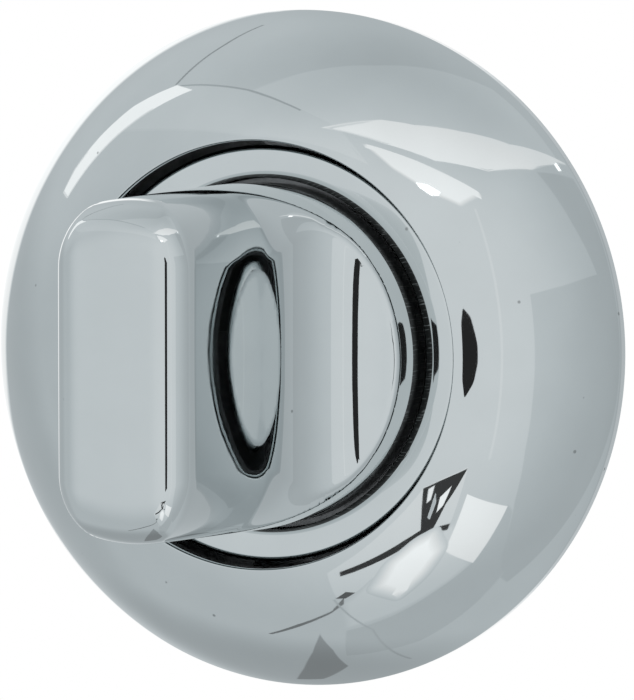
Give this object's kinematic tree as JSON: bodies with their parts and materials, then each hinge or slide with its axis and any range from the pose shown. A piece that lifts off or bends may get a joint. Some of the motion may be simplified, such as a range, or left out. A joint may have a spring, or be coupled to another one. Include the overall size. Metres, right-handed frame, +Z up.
{
  "type": "thumb turn",
  "caption": "Round privacy thumb turn: a chrome knob with an upright grip turns in a domed rose and drives a square spindle.",
  "frame": {"origin": "on the axis of the spindle, in the plane of the door face that the rose is fixed against", "axes": "+Y along the spindle into the door, the knob towards -Y, +X to the right for a person facing the door, +Z up"},
  "size_m": [0.052, 0.0769, 0.052],
  "materials": {
    "rose_chrome": "polished chrome plate",
    "ring_chrome": "polished chrome plate",
    "knob_chrome": "polished chrome plate, side wall left with its machining lines",
    "base_casting": "as-cast zinc alloy",
    "bush_acetal": "natural acetal",
    "plated_steel": "bright zinc plate",
    "spring_steel": "oil-blacked spring steel",
    "screw_steel": "bright zinc plate"
  },
  "bodies": {
    "rose": {"cover_rose": "rose_chrome", "cover_snap_ring": "spring_steel", "rose_base": "base_casting", "collar_ring": "ring_chrome", "neck_bush": "bush_acetal", "fixing_screw_upper": "screw_steel", "fixing_screw_lower": "screw_steel"},
    "turn": {"knob": "knob_chrome", "spindle": "plated_steel", "spindle_pin": "spring_steel", "stop_washer": "plated_steel", "disc_spring": "spring_steel", "circlip": "spring_steel"}
  },
  "joints": [
    {"name": "thumb_turn", "type": "hinge", "parent": "rose", "child": "turn", "pos_m": [0, 0, 0], "axis": [0, -1, 0], "range_deg": [0, 90]}
  ]
}
